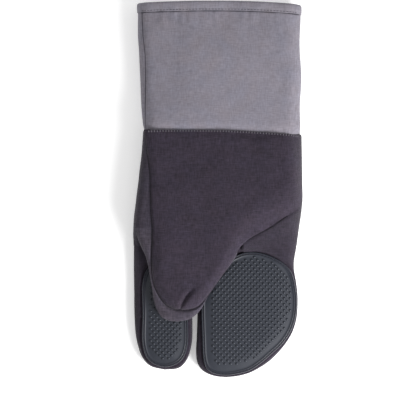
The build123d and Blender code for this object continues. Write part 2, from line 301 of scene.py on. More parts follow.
def makeClothWeave():
    # plain weave from two crossed waves, with slow changes of shade
    group = nodeGroup(
        "clothWeave",
        [("Colour", "NodeSocketColor", (0.2, 0.2, 0.2, 1)), ("Shade", "NodeSocketFloat", 0.25),
         ("Thread", "NodeSocketFloat", 900.0)],
        [("Colour", "NodeSocketColor"), ("Height", "NodeSocketFloat")],
    )
    n, link = group.nodes, group.links
    inside, outside = n.new("NodeGroupInput"), n.new("NodeGroupOutput")
    place = n.new("ShaderNodeTexCoord")
    waves = []
    for turn in (0, 1):
        turned = n.new("ShaderNodeMapping")
        turned.inputs["Rotation"].default_value = (0, 0, math.radians(45 + 90 * turn))
        link.new(place.outputs["Object"], turned.inputs["Vector"])
        wave = n.new("ShaderNodeTexWave")
        wave.wave_type = "BANDS"
        wave.bands_direction = "X"
        wave.inputs["Distortion"].default_value = 1.2
        wave.inputs["Detail"].default_value = 1.0
        wave.inputs["Detail Scale"].default_value = 2.0
        link.new(turned.outputs["Vector"], wave.inputs["Vector"])
        link.new(inside.outputs["Thread"], wave.inputs["Scale"])
        waves.append(wave)
    weave = mathNode(group, "MULTIPLY", waves[0].outputs["Fac"], waves[1].outputs["Fac"])
    slow = noiseNode(group, place.outputs["Object"], 34.0, 5.0, 0.6)
    slubs = []
    for stretch in ((820.0, 150.0, 300.0), (150.0, 820.0, 300.0)):      # threads along Y, then along X
        drawn = n.new("ShaderNodeMapping")
        drawn.inputs["Scale"].default_value = stretch
        link.new(place.outputs["Object"], drawn.inputs["Vector"])
        slubs.append(noiseNode(group, drawn.outputs["Vector"], 1.0, 2.0))
    fine = mathNode(group, "ADD", *slubs)
    softened = mathNode(group, "MULTIPLY_ADD", slow, 0.5, -0.25)
    centred = mathNode(group, "SUBTRACT", mathNode(group, "ADD", softened, fine), 1.0)
    shade = mathNode(group, "MULTIPLY_ADD", centred, inside.outputs["Shade"], 1.0)
    tint = n.new("ShaderNodeVectorMath")
    tint.operation = "SCALE"
    link.new(inside.outputs["Colour"], tint.inputs[0])
    link.new(shade, tint.inputs["Scale"])
    patches = noiseNode(group, place.outputs["Object"], 55.0, 3.0)      # slightly warmer and cooler
    warmth = n.new("ShaderNodeMapRange")
    warmth.inputs["From Min"].default_value = 0.3
    warmth.inputs["From Max"].default_value = 0.7
    warmth.inputs["To Min"].default_value = 0.975
    warmth.inputs["To Max"].default_value = 1.025
    link.new(patches, warmth.inputs["Value"])
    coolness = mathNode(group, "SUBTRACT", 2.0, warmth.outputs["Result"])
    hue = n.new("ShaderNodeCombineXYZ")
    hue.inputs["Y"].default_value = 1.0
    link.new(warmth.outputs["Result"], hue.inputs["X"])
    link.new(coolness, hue.inputs["Z"])
    dyed = n.new("ShaderNodeVectorMath")
    dyed.operation = "MULTIPLY"
    link.new(tint.outputs["Vector"], dyed.inputs[0])
    link.new(hue.outputs["Vector"], dyed.inputs[1])
    link.new(dyed.outputs["Vector"], outside.inputs["Colour"])
    link.new(mathNode(group, "MULTIPLY_ADD", fine, 0.6, weave), outside.inputs["Height"])
    return group


clothWeave = makeClothWeave()


def fabric(name, colour, shade=0.25, thread=900.0, bump=0.25):
    made = bpy.data.materials.new(name)
    made.use_nodes = True
    n, link = made.node_tree.nodes, made.node_tree.links
    shader = n["Principled BSDF"]
    shader.inputs["Roughness"].default_value = 0.9
    shader.inputs["Sheen Weight"].default_value = 0.08
    shader.inputs["Sheen Roughness"].default_value = 0.5
    shader.inputs["Specular IOR Level"].default_value = 0.2
    weave = n.new("ShaderNodeGroup")
    weave.node_tree = clothWeave
    weave.inputs["Colour"].default_value = (*colour, 1)
    weave.inputs["Shade"].default_value = shade
    weave.inputs["Thread"].default_value = thread
    raised = n.new("ShaderNodeBump")
    raised.inputs["Strength"].default_value = bump
    raised.inputs["Distance"].default_value = 0.0004
    link.new(weave.outputs["Colour"], shader.inputs["Base Color"])
    link.new(weave.outputs["Height"], raised.inputs["Height"])
    link.new(raised.outputs["Normal"], shader.inputs["Normal"])
    return made


def siliconeRubber(name, colour):
    made = bpy.data.materials.new(name)
    made.use_nodes = True
    n, link = made.node_tree.nodes, made.node_tree.links
    shader = n["Principled BSDF"]
    shader.inputs["Specular IOR Level"].default_value = 0.42
    place = n.new("ShaderNodeTexCoord")
    dust = noiseNode(made.node_tree, place.outputs["Object"], 60.0, 8.0)
    tone = n.new("ShaderNodeMapRange")
    tone.inputs["To Min"].default_value = 0.88
    tone.inputs["To Max"].default_value = 1.12
    link.new(dust, tone.inputs["Value"])
    tint = n.new("ShaderNodeVectorMath")
    tint.operation = "SCALE"
    tint.inputs[0].default_value = colour
    link.new(tone.outputs["Result"], tint.inputs["Scale"])
    link.new(tint.outputs["Vector"], shader.inputs["Base Color"])
    rough = n.new("ShaderNodeMapRange")
    rough.inputs["To Min"].default_value = 0.38
    rough.inputs["To Max"].default_value = 0.53
    link.new(dust, rough.inputs["Value"])
    link.new(rough.outputs["Result"], shader.inputs["Roughness"])
    return made


cloths = {
    "cuff": fabric("greyCuffCloth", (0.185, 0.173, 0.205), shade=0.55, bump=0.35),
    "hem": fabric("greyHemCloth", (0.2, 0.188, 0.22), shade=0.55, bump=0.3),
    "hand": fabric("darkHandCloth", (0.0262, 0.0198, 0.0317), shade=1.15, bump=0.45),
    "back": fabric("darkBackCloth", (0.032, 0.0265, 0.0385), shade=1.15, bump=0.45),
    # the thumb's inner panel is the hand's dark cloth painted lighter, a painted highlight for the light that
    # its band catches along the thumb's side and tip
    "thumb": fabric("thumbClothPaintedLighter", (0.0475, 0.0402, 0.0551), shade=1.15, bump=0.45),
    "lobe": fabric("darkLobeCloth", (0.0205, 0.016, 0.0252), shade=1.15, bump=0.45),
    "inside": fabric("liningCloth", (0.09, 0.085, 0.1), shade=0.3, bump=0.2),
}
padRubber = siliconeRubber("slateSilicone", (0.0128, 0.0156, 0.0238))
darkThread = fabric("darkThread", (0.03, 0.026, 0.036), thread=1600.0)
# dark grey cords on the cuff: painted shadow for the shade in its side seam and under the hem's folded edge
greySeamShadow = fabric("greySeamPaintedShadow", (0.05, 0.046, 0.058), thread=1600.0)
# near-black cords laid in the seams of the hand: painted shadow for the shade inside those seams
seamShadow = fabric("paintedSeamShadow", (0.012, 0.01, 0.015), thread=1600.0)
greyThread = fabric("greyThread", (0.1, 0.092, 0.112), thread=1600.0)
wristThread = fabric("wristThread", (0.095, 0.087, 0.104), thread=1600.0)


def wear(piece, cloth):
    piece.data.materials.clear()
    piece.data.materials.append(cloth)
    return piece


print("stage: materials ready")


# the seam between hand and cuff, which bows and slants

wristSeam = {"middle": -25.0, "highest": 2.3, "slant": 0.003, "bow": 0.00046, "follows": 15.0}


def seamAcross(x):
    # how far the wrist seam runs up or down from its middle height
    off = x - wristSeam["middle"]
    return wristSeam["highest"] - wristSeam["slant"] * off - wristSeam["bow"] * off**2


def nearWrist(y):
    return np.clip((y - wristSeam["follows"]) / (wristY - wristSeam["follows"]), 0, 1) ** 2


def bentToSeam(grid):
    # the rows near the wrist follow the seam
    grid[:, :, 1] += seamAcross(grid[:, :, 0]) * nearWrist(grid[:, :, 1])
    return grid


# wrist front and the thumb's outer side, one panel that the thumb lifts

front = {
    "left": [(-77.5, wristY), (-74.5, 41), (-71.5, 17), (-70.2, -20), (-69.2, -44), (-69.9, -73.5),
             (-68.0, -95.6), (-62.6, -110), (-55, -120), (-46, -124.6), (-37, -125.8)],
    "right": [(87.6, wristY), (88.2, 40), (88.5, 6), (87.9, -10), (84.0, -19), (73.3, -27.1),
              (55.5, -39.8), (35.2, -50.4), (24.5, -58.5), (19.0, -67), (12.0, -79.0), (2.9, -92),
              (-10.9, -111.0), (-20, -121.5), (-28, -125.0), (-37, -125.8)],
    "grid": (190, 110),
    "wall": 4.2,
    "below": 0.9,           # from the highest place of the whole mitt
    "wristFall": 1.9,       # lower at the wrist
    "tipFall": 3.6,         # lower at the thumb's tip
    "thumbRoot": -52.0,
    "thumbLength": 74.0,
    "seamDepth": 1.1,
    "waves": 1.1,
    "creases": 0.45,
    "crease": [(-40.0, -123.4), (-34.0, -112.5), (-27.0, -103.0)],
    "creaseDepth": 1.9,
    "creaseBulge": 0.5,
}
palm = {
    "seam": [(24.0, -58.0), (75.0, -26.0)],
    "right": [(87.6, wristY + 6), (88.4, 40), (88.8, 6), (89.2, -10.5), (88.2, -27), (86.1, -44),
              (84, -61), (81.6, -76)],
    "level": lobeTop + 1.0,
}
wristReach = 62.0           # from the knuckles to the wrist
handRight = smoothLine(palm["right"])


def belowSeam(xy):
    # distance below the diagonal seam of the palm
    seam = np.array(palm["seam"])
    run = (seam[1] - seam[0]) / np.hypot(*(seam[1] - seam[0]))
    off = xy - seam[0]
    return off[:, 0] * run[1] - off[:, 1] * run[0]


def handLevel(y):
    return handTop - front["below"] - front["wristFall"] * np.clip(y / wristReach, 0, 1)


def alongThumb(y):
    # 0 at the thumb's root, 1 near its tip
    return np.clip((front["thumbRoot"] - y) / front["thumbLength"], 0, 1)


def handSurface(xy):
    # the outer face of wrist and palm: one smooth slope across the diagonal seam
    level = handLevel(xy[:, 1])
    slope = smoothStep((belowSeam(xy) + 30) / 62)
    level = level + (palm["level"] - level) * slope
    edge = distanceTo(handRight, xy)
    foot = 8.0 + 7.0 * smoothStep((xy[:, 1] + 40) / 40)
    return foot + (level - foot) * roundedEdge(edge, 20.0 - 10.0 * slope)


def frontTop(xy, side):
    d = distanceTo(side, xy)
    x, y = xy[:, 0], xy[:, 1]
    thumbPart = np.maximum(smoothStep((38 - x) / 34), smoothStep((-56 - y) / 16))
    thumbTop = handLevel(y) - front["tipFall"] * alongThumb(y)
    freeSide = 1.2 * np.clip((x + 30) / 20, 0, 1) * smoothStep((-34 - y) / 34)     # lower by the pad
    towardsTip = smoothStep((-26 - y) / 34)
    edgeDrop, edgeReach = 1.5 + 3.1 * towardsTip + freeSide, 5.0 + 7.0 * towardsTip
    thumbTop = thumbTop - edgeDrop * (1 - roundedEdge(d, edgeReach))
    z = handSurface(xy) * (1 - thumbPart) + thumbTop * thumbPart
    fade = 1 - smoothStep((x - 66) / 12) * smoothStep((y + 32) / 6) * (y < 20)     # no seam at the side
    z -= front["seamDepth"] * np.exp(-(d / 1.2) ** 2) * fade
    crease = distanceTo(np.array(front["crease"]), xy)
    softEnd = smoothStep((-101 - y) / 9)
    bulge = front["creaseBulge"] * np.exp(-((crease - 4.4) / 2.4) ** 2)
    z += softEnd * (bulge - front["creaseDepth"] * np.exp(-(crease / 1.7) ** 2))
    calm = np.clip(d / 9, 0, 1)
    return z + calm * (front["waves"] * ripple(xy, 48, 3.1) + front["creases"] * ripple(xy, 15, 8.4))


def makeFront():
    left, right = smoothLine(front["left"]), smoothLine(front["right"])
    side = np.vstack([left, right[::-1]])[::4]
    grid = bentToSeam(gridOver(left, right, *front["grid"]))
    top = frontTop(grid.reshape(-1, 2), side)
    wall = 0.4 + front["wall"] * roundedEdge(distanceTo(side, grid.reshape(-1, 2)), 4.0)
    return wear(closedPillow("frontPanel", grid, lambda _: top, lambda _: top - wall), cloths["hand"]), side


def frontFree(xy):
    # the seams and the crease hold the cloth
    toCrease = distanceTo(np.array(front["crease"]), xy)
    return smoothStep(distanceTo(frontSide, xy) / 9) * smoothStep(toCrease / 7)


frontPanel, frontSide = makeFront()
puffed(frontPanel, frontFree, voxel=3.0)
print("stage: front panel")


# loops of rounded sections, for the back panel, the pads and the cuff

def evenly(curve, count):
    # that many points at equal steps round a closed line
    closed = np.vstack([curve, curve[:1]])
    run = np.concatenate([[0], np.cumsum(np.hypot(*np.diff(closed, axis=0).T))])
    at = np.linspace(0, run[-1], count, endpoint=False)
    return np.column_stack([np.interp(at, run, closed[:, 0]), np.interp(at, run, closed[:, 1])])


def inwardOf(line):
    # unit directions into the area that a closed line goes round
    run = np.roll(line, -1, axis=0) - np.roll(line, 1, axis=0)
    sideways = np.column_stack([-run[:, 1], run[:, 0]]) / np.hypot(*run.T)[:, None]
    following = np.roll(line, -1, axis=0)
    area = (line[:, 0] * following[:, 1] - line[:, 1] * following[:, 0]).sum()
    return sideways if area > 0 else -sideways


def loftRings(name, rings, closeEnds="caps"):
    # rings of the same number of points, in millimetres
    rings = np.array(rings)
    many, count, _ = rings.shape
    faces = []
    last = many if closeEnds == "loop" else many - 1
    for r in range(last):
        for c in range(count):
            a, b = r * count + c, r * count + (c + 1) % count
            e, f = ((r + 1) % many) * count + c, ((r + 1) % many) * count + (c + 1) % count
            faces.append((a, b, f, e))
    if closeEnds == "caps":
        faces.append(tuple(range(count))[::-1])
        faces.append(tuple((many - 1) * count + c for c in range(count)))
    return tidyMesh(meshFrom(name, rings.reshape(-1, 3), faces))


# the back of the hand, whose left side rolls over to the front

back = {
    "left": [(-78.6, wristY + 4), (-80.2, 41), (-82.6, 17), (-85.6, -5), (-88.4, -29.6), (-89.2, -46),
             (-89.3, -61)],
    "right": [(88.0, wristY + 4), (88.6, 30), (88.9, 6), (89.3, -10.5), (88.4, -27), (86.3, -44),
              (84.2, -61)],
    "wall": 4.4,
    "below": 3.6,           # from the highest place of the whole mitt
    "wristFall": 1.8,
    "unrolled": 16.0,       # height of the left side past the knuckles
    "rollStarts": -52.0,
    "rollLength": 12.0,
    "rimLow": 7.0,          # the palm covers the right rim near the knuckles
    "rimRise": 9.5,
    "lowerEnd": -57.0,
    "endRound": 3.0,
    "rows": 60,
}


def backSection(y, left, right, seam):
    # once round the wall: under the hand, up and over the right rim, back inside, and over the left side
    rolled = smoothStep((y - back["rollStarts"]) / back["rollLength"])
    rolledTop = handTop - back["below"] - back["wristFall"] * np.clip(y / wristReach, 0, 1)
    top = back["unrolled"] + (rolledTop - back["unrolled"]) * rolled
    wall = back["wall"]
    pastKnuckles = smoothStep((y + 42) / 42)
    rim = back["rimLow"] + back["rimRise"] * pastKnuckles
    right = right - 1.2 * (1 - pastKnuckles)
    middle = (left + right) / 2
    return [
        (left + 9, 0.0), (middle, 0.0), (right - 9, 0.0),
        (right - 1.6, 0.25 * rim), (right, 0.6 * rim), (right - 0.6, 0.93 * rim), (right - 3.0, rim),
        (right - wall, 0.75 * rim), (right - 9, wall + 0.4), (middle, wall), (left + 10, wall + 0.4),
        (left + wall + 0.8, 9.0), (left + wall + 0.6, top - 9), (left + wall + 4, top - wall - 0.6),
        (seam + 1, top - wall - 0.2), (seam + 3.0, top - 2.2), (seam + 1.0, top - 0.4),
        (left + 6.5, top), (left + 1.2, top - 5.5), (left, top / 2), (left + 1.8, 4.0),
    ]


def backRows():
    # y of each ring, closer together over the two rounded ends
    high, low, turn = wristY, back["lowerEnd"], back["endRound"]
    upperEnd = high - turn * (1 - np.cos(np.linspace(0, np.pi / 2, 6)))[:-1]
    lowerEnd = low - turn * np.sin(np.linspace(0.3, np.pi / 2, 5))
    return [*upperEnd, *np.linspace(high - turn, low, back["rows"]), *lowerEnd]


def makeBack():
    left, right, seam = smoothLine(back["left"]), smoothLine(back["right"]), smoothLine(front["left"])
    rings = []
    turn = back["endRound"]
    for y in backRows():
        leftX, rightX = float(sideAt(left, y)), float(sideAt(right, y))
        seamX = float(sideAt(seam, min(y, wristY)))
        loop = evenly(closedCurve(backSection(y, leftX, rightX, seamX), 10), 220)
        taken = np.clip(max(y - wristY + turn, back["lowerEnd"] - y) / turn, 0, 1)
        loop = loop + inwardOf(loop) * 1.3 * (1 - math.sqrt(1 - taken**2))     # both ends are rounded over
        ring = np.column_stack([loop[:, 0], y + seamAcross(loop[:, 0]) * nearWrist(y), loop[:, 1]])
        waves = ripple(ring[:, [0, 1]] + 7, 30, 1.7) * 0.7
        ring[:, 2] += np.where(ring[:, 2] < 3.0, 0, waves)      # it stays flat where it lies on the floor
        ring[:, 0] += np.where(ring[:, 0] < leftX + 8, ripple(ring[:, [1, 2]], 22, 5.2) * 0.7, 0)
        rings.append(ring)
    return wear(loftRings("backPanel", rings), cloths["back"])


backPanel = makeBack()
print("stage: back panel")


# the thumb's inner side, which shows as a band outside the outer panel

thumb = {
    "left": [(-82, -22), (-85.2, -34), (-85.6, -45), (-81.2, -59), (-75.6, -73.5), (-71.2, -95),
             (-67.7, -117), (-61.3, -131.4), (-52.7, -137.0), (-42, -138.4)],
    "right": [(20, -26), (21, -44), (22, -57), (20.0, -67.5), (12.6, -79.6), (3.4, -92), (-10.4, -112),
              (-18, -126), (-29, -135.4), (-42, -138.4)],
    "grid": (170, 100),
    "edge": 7.0,
    "below": 4.4,           # from the highest place of the whole mitt
    "tipFall": 3.2,
    "rootDrop": 4.0,        # lower near the palm, under the front panel
    "rootDepth": 3.6,       # how far its underside reaches down to the palm
    "groove": 1.9,          # along the outer panel's edge
    "creases": 0.4,
}


def thumbCrown(y):
    return handTop - thumb["below"] - thumb["tipFall"] * alongThumb(y)


def thumbInnerTop(xy, side):
    x, y = xy[:, 0], xy[:, 1]
    top = thumbCrown(y) - thumb["rootDrop"] * smoothStep((y + 72) / 22) * smoothStep((x + 20) / 30)
    middle = (top + thumbLow) / 2
    d = distanceTo(side, xy)
    groove = thumb["groove"] * np.exp(-(distanceTo(frontSide, xy) / 1.3) ** 2) * smoothStep((-50 - y) / 12)
    creases = thumb["creases"] * ripple(xy, 19, 6.1) * np.clip(d / 5, 0, 1)
    return middle + (top - middle) * roundedEdge(d, thumb["edge"]) - groove + creases


def thumbInnerLow(xy, side):
    low = thumbLow - thumb["rootDepth"] * np.clip((xy[:, 1] + 66) / 22, 0, 1)
    middle = (thumbCrown(xy[:, 1]) + thumbLow) / 2
    return middle - (middle - low) * roundedEdge(distanceTo(side, xy), thumb["edge"])


def makeThumb():
    left, right = smoothLine(thumb["left"]), smoothLine(thumb["right"])
    side = np.vstack([left, right[::-1]])[::4]
    grid = gridOver(left, right, *thumb["grid"])
    xy = grid.reshape(-1, 2)
    top, low = thumbInnerTop(xy, side), thumbInnerLow(xy, side)
    return wear(closedPillow("thumbInnerPanel", grid, lambda _: top, lambda _: low), cloths["thumb"])


thumbInner = makeThumb()
puffed(thumbInner,
       lambda xy: 0.6 * smoothStep(distanceTo(frontSide, xy) / 5) * smoothStep((-48 - xy[:, 1]) / 20))
print("stage: thumb")


# finger lobes

lobes = {
    "index": {
        "left": [(-86, -36), (-89.2, -50), (-89.5, -73.5), (-89.2, -102), (-88.6, -130), (-87.2, -152),
                 (-83.6, -168), (-78, -179.2), (-70, -186.2), (-56, -189.5)],
        "right": [(-26.8, -36), (-26.6, -73), (-26.4, -120), (-26.5, -152), (-28.6, -168),
                  (-33.6, -180.5), (-42, -188), (-56, -189.5)],
        "pad": [(-79.4, -130), (-79.4, -98), (-72.6, -81.2), (-55.6, -74.5), (-38.6, -81.2),
                (-31.8, -98), (-31.8, -130), (-31.8, -162), (-38.8, -179.5), (-55.6, -186.4),
                (-72.4, -179.5), (-79.4, -162)],
        "spine": [(-55.6, -98), (-55.6, -162)],
        "plainMargin": 7.6,
        "fieldLean": (0.0, 0.0),
    },
    "fingers": {
        "left": [(-23.4, 4), (-23.4, -60), (-22.8, -120), (-23.6, -155), (-23.8, -172), (-21.6, -184),
                 (-15, -192.4), (-4, -196.8), (9, -198)],
        "right": [(87.2, 4), (88.4, -8), (88.9, -16), (88.2, -28), (86.1, -44), (84, -61), (81.6, -76),
                  (82.2, -90), (84, -108), (84.2, -121), (83, -136), (78.2, -152), (68, -168),
                  (54, -181.8), (38, -191.6), (23, -196.6), (9, -198)],
        "pad": [(-17.6, -128), (-16.8, -150), (-15.6, -176), (-12.0, -187.6), (-4, -193.2), (8, -195),
                (21, -193.4), (34, -189.6), (46, -181.6), (57, -172), (67.4, -162.4), (75.4, -151),
                (80.6, -138), (83, -123), (82.4, -108), (78.4, -89), (70.6, -78.4), (60, -71.6),
                (49, -67.2), (38, -65.2), (25, -66.6), (10, -74), (-4, -85), (-13, -98), (-17, -112)],
        "spine": [(18, -112), (26, -128), (20, -160)],
        "plainMargin": 8.0,
        "fieldLean": (2.4, 2.8),
    },
}
lobeForm = {
    "grid": (190, 96),
    "edge": 8.5,            # how far the rounding of a lobe's rim reaches in
    "rim": 7.5,             # height of the rim's outermost line
    "swell": 1.2,
    "crown": 2.1,
    "crownReach": 22.0,
    "padDip": 2.0,          # how far the cloth is drawn down at a pad's rim
    "hidden": -62.0,        # past this y a lobe lies inside the back panel
    "hiddenLift": 5.6,
}


def lobeCrown(xy, side):
    # a lobe falls away a little towards its rim
    return -lobeForm["crown"] * (1 - smoothStep(distanceTo(side, xy) / lobeForm["crownReach"]))


def palmFrom(xy, lobeHeight):
    # above the knuckles the palm takes the hand's own surface, and tucks in under the front panel
    tucked = 2.2 * smoothStep((-belowSeam(xy) + 1.2) / 3.0)
    hand = handSurface(xy) - tucked - 0.6 * np.exp(-((belowSeam(xy) - 0.5) / 1.6) ** 2)
    underThumb = palm["level"] + 7 * smoothStep((xy[:, 1] + 58) / 20)
    hand = np.where(xy[:, 0] < 26, np.minimum(hand, underThumb), hand)
    return lobeHeight + (hand - lobeHeight) * smoothStep((xy[:, 1] + 74) / 22)


def lobeTopAt(xy, side, padLine, withPalm):
    d = distanceTo(side, xy)
    toPad = distanceTo(padLine, xy)
    inPad = insideOf(padLine, xy)
    dip, rim = lobeForm["padDip"], lobeForm["rim"]
    dip = np.where(inPad, dip, dip * np.exp(-(toPad / 2.6) ** 2))
    top = lobeTop + lobeForm["swell"] + lobeCrown(xy, side)
    z = rim + (top - rim) * roundedEdge(d, lobeForm["edge"]) - dip * np.clip(d / 3, 0, 1)
    calm = np.where(inPad, 0, np.clip(d / 6, 0, 1) * np.clip(toPad / 6, 0, 1))
    if withPalm:
        z = palmFrom(xy, z)
    return z + calm * (0.7 * ripple(xy, 26, 2.3) + 0.3 * ripple(xy, 11, 4.9))


def lobeLowAt(xy, side):
    low = lobeForm["hiddenLift"] * smoothStep((xy[:, 1] - lobeForm["hidden"]) / 8)
    return low + (lobeForm["rim"] - low) * (1 - roundedEdge(distanceTo(side, xy), lobeForm["edge"]))


def makeLobe(name, lobe, withPalm):
    left, right = smoothLine(lobe["left"]), smoothLine(lobe["right"])
    side = np.vstack([left, right[::-1]])[::4]
    padLine = closedCurve(lobe["pad"], 6)
    grid = gridOver(left, right, *lobeForm["grid"])
    xy = grid.reshape(-1, 2)
    top, low = lobeTopAt(xy, side, padLine, withPalm), lobeLowAt(xy, side)
    return wear(closedPillow(name, grid, lambda _: top, lambda _: low), cloths["lobe"])


def puffRoundPad(piece, lobe):
    # the cloth under a pad doesn't move
    padLine = closedCurve(lobe["pad"], 6)
    puffed(piece, lambda xy: np.where(
        insideOf(padLine, xy), 0, smoothStep((distanceTo(padLine, xy) - 0.8) / 4)))


indexLobe = makeLobe("indexLobe", lobes["index"], False)
fingersLobe = makeLobe("fingersLobe", lobes["fingers"], True)
puffRoundPad(indexLobe, lobes["index"])
puffRoundPad(fingersLobe, lobes["fingers"])
print("stage: finger lobes")


# silicone pads: a rim of two ridges, a plain margin and a field of bumps

padForm = {
    "rim": [(0.0, 0.0), (0.1, 1.3), (0.25, 2.1), (0.5, 2.6), (0.8, 2.75), (1.1, 2.5), (1.4, 2.05),
            (1.8, 1.85), (2.2, 2.05), (2.5, 2.45), (2.8, 2.7), (3.1, 2.6), (3.45, 2.2), (3.9, 1.95),
            (4.6, 1.85), (6.0, 1.85), (9.0, 1.9)],        # distance in from the outline, height
    "face": 1.9,                # height of the plain middle
    "grooveMiddle": 1.8,        # distance in from the outline
    "threadHeight": 1.98,
    "sunk": 0.1,
    "bumpStep": 4.4,
    "bumpRadius": 1.5,
    "bumpHeight": 1.15,
    "bumpSunk": 0.15,
}


def bumpTemplate():
    # one bump, made once and copied: the upper half of a small ball
    bpy.ops.object.select_all(action="DESELECT")
    bpy.ops.mesh.primitive_uv_sphere_add(segments=10, ring_count=6, radius=1.0)
    ball = bpy.context.object
    bpy.ops.object.mode_set(mode="EDIT")
    bpy.ops.mesh.select_all(action="SELECT")
    bpy.ops.mesh.bisect(plane_co=(0, 0, -0.05), plane_no=(0, 0, 1), clear_inner=True, use_fill=True)
    bpy.ops.object.mode_set(mode="OBJECT")
    points = np.array([v.co[:] for v in ball.data.vertices])
    faces = [tuple(f.vertices) for f in ball.data.polygons]
    bpy.data.objects.remove(ball)
    return points, faces


bumpPoints, bumpFaces = bumpTemplate()


def padFace(name, line, inward, lobe, side):
    # the rim's ridges, then rings that close in on the pad's spine
    face = padLow + padForm["face"]
    rings = [np.column_stack([line + inward * d, np.full(len(line), padLow + h)])
             for d, h in padForm["rim"]]
    inner = rings[-1][:, :2]
    spine = lobe["spine"]
    spine = smoothLine(spine) if len(spine) > 2 else np.linspace(spine[0], spine[1], 40)
    nearest = spine[np.argmin(((inner[:, None, :] - spine[None, :, :]) ** 2).sum(axis=2), axis=1)]
    for share in (0.2, 0.4, 0.6, 0.8, 0.97):
        rings.append(np.column_stack([inner + (nearest - inner) * share, np.full(len(line), face)]))
    for ring in rings:
        ring[:, 2] += lobeCrown(ring[:, :2], side) - padForm["sunk"]
    return loftRings(name, rings)


def bumpSpots(line, inward, lobe):
    # a diagonal field inside the plain margin
    field = line + inward * (lobe["plainMargin"] + inward @ np.array(lobe["fieldLean"]))[:, None]
    low, high = line.min(axis=0), line.max(axis=0)
    half = padForm["bumpStep"] / math.sqrt(2)
    spots = []
    for row in range(int((high[1] - low[1]) / half) + 2):
        for column in range(int((high[0] - low[0]) / (2 * half)) + 2):
            spots.append((low[0] + (2 * column + row % 2) * half, low[1] + row * half))
    spots = np.array(spots)
    return spots[insideOf(field, spots)]


def makePad(name, lobe):
    line = evenly(closedCurve(lobe["pad"], 12), 260)
    inward = inwardOf(line)
    side = np.vstack([smoothLine(lobe["left"]), smoothLine(lobe["right"])[::-1]])[::4]
    pad = padFace(name, line, inward, lobe, side)
    points = [np.array([v.co[:] for v in pad.data.vertices]) / mm]
    faces = [tuple(f.vertices) for f in pad.data.polygons]
    bpy.data.objects.remove(pad)
    count = len(points[0])
    size = np.array([padForm["bumpRadius"], padForm["bumpRadius"], padForm["bumpHeight"]])
    spots = bumpSpots(line, inward, lobe)
    for (x, y), drop in zip(spots, lobeCrown(spots, side)):
        points.append(bumpPoints * size + (x, y, padLow + padForm["face"] + drop - padForm["bumpSunk"]))
        faces += [tuple(i + count for i in f) for f in bumpFaces]
        count += len(bumpPoints)
    made = meshFrom(name, np.vstack(points), faces)
    made.data.shade_smooth()
    return wear(made, padRubber), line + inward * padForm["grooveMiddle"], side


indexPad, indexGroove, indexSide = makePad("indexPad", lobes["index"])
fingersPad, fingersGroove, fingersSide = makePad("fingersPad", lobes["fingers"])
print("stage: pads")


# cuff: an outer tube and its lining, then the folded hem

cuff = {
    "left": [(-78.4, 56), (-78.6, 63.6), (-80.9, 95), (-82.4, 121), (-83.2, 147), (-84.4, 165),
             (-84.6, 200)],
    "right": [(87.0, 56), (87.0, 63), (86.3, 86), (87.2, 119), (85.8, 152), (86.4, 184), (86.6, 200)],
    "seam": [(-75.6, 50), (-75.7, 63), (-76.1, 103), (-76.2, 138), (-78.8, 165), (-80.2, 200)],
    "halfWidth": 87.0,
    "corner": 15.0,
    "cloth": 2.2,           # outer cloth and felt together
    "liningFrom": 2.3,
    "wall": 2.9,
    "starts": 57.0,         # inside the hand's back panel
    "shortOfMouth": 1.2,
    "rows": 72,
    "tuck": 1.4,            # drawn in at the wrist seam
    "fallen": 4.5,          # the left side lies lower
    "seamDepth": 1.1,
    "waves": 1.0,
    "creases": 0.35,
    "pucker": 1.0,
}
mouth = {"bowStarts": 140.0, "atHem": (1.5, 3.8), "pastHem": (0.5, 0.3)}      # left, right
# each pair is a distance past the hem's edge and an inset from the cuff's outer face
hem = {
    "outside": [(0.1, 0.3), (0, -0.3), (0.2, -0.75), (0.7, -0.95), (1.4, -0.75), (2.3, -0.95),
                (5, -1.05), (8, -0.95), (9.4, -0.7), (10.1, -0.2), (10.45, 0.5), (10.5, 1.4)],
    "inside": [(10.45, 2.6), (10.1, 3.4), (9.2, 3.9), (6, 4.0), (2, 3.9), (0.3, 3.5), (0, 3.0)],
}


def mouthBow(x, y):
    # the mouth and the hem run back towards both sides, more on the right
    sides = x / cuff["halfWidth"]
    start = mouth["bowStarts"]
    atHem = smoothStep((y - start) / (hemY - start)) * sides**2 * np.where(sides < 0, *mouth["atHem"])
    pastHem = smoothStep((y - hemY) / (mouthY - hemY)) * sides**4 * np.where(sides < 0, *mouth["pastHem"])
    return atHem + pastHem


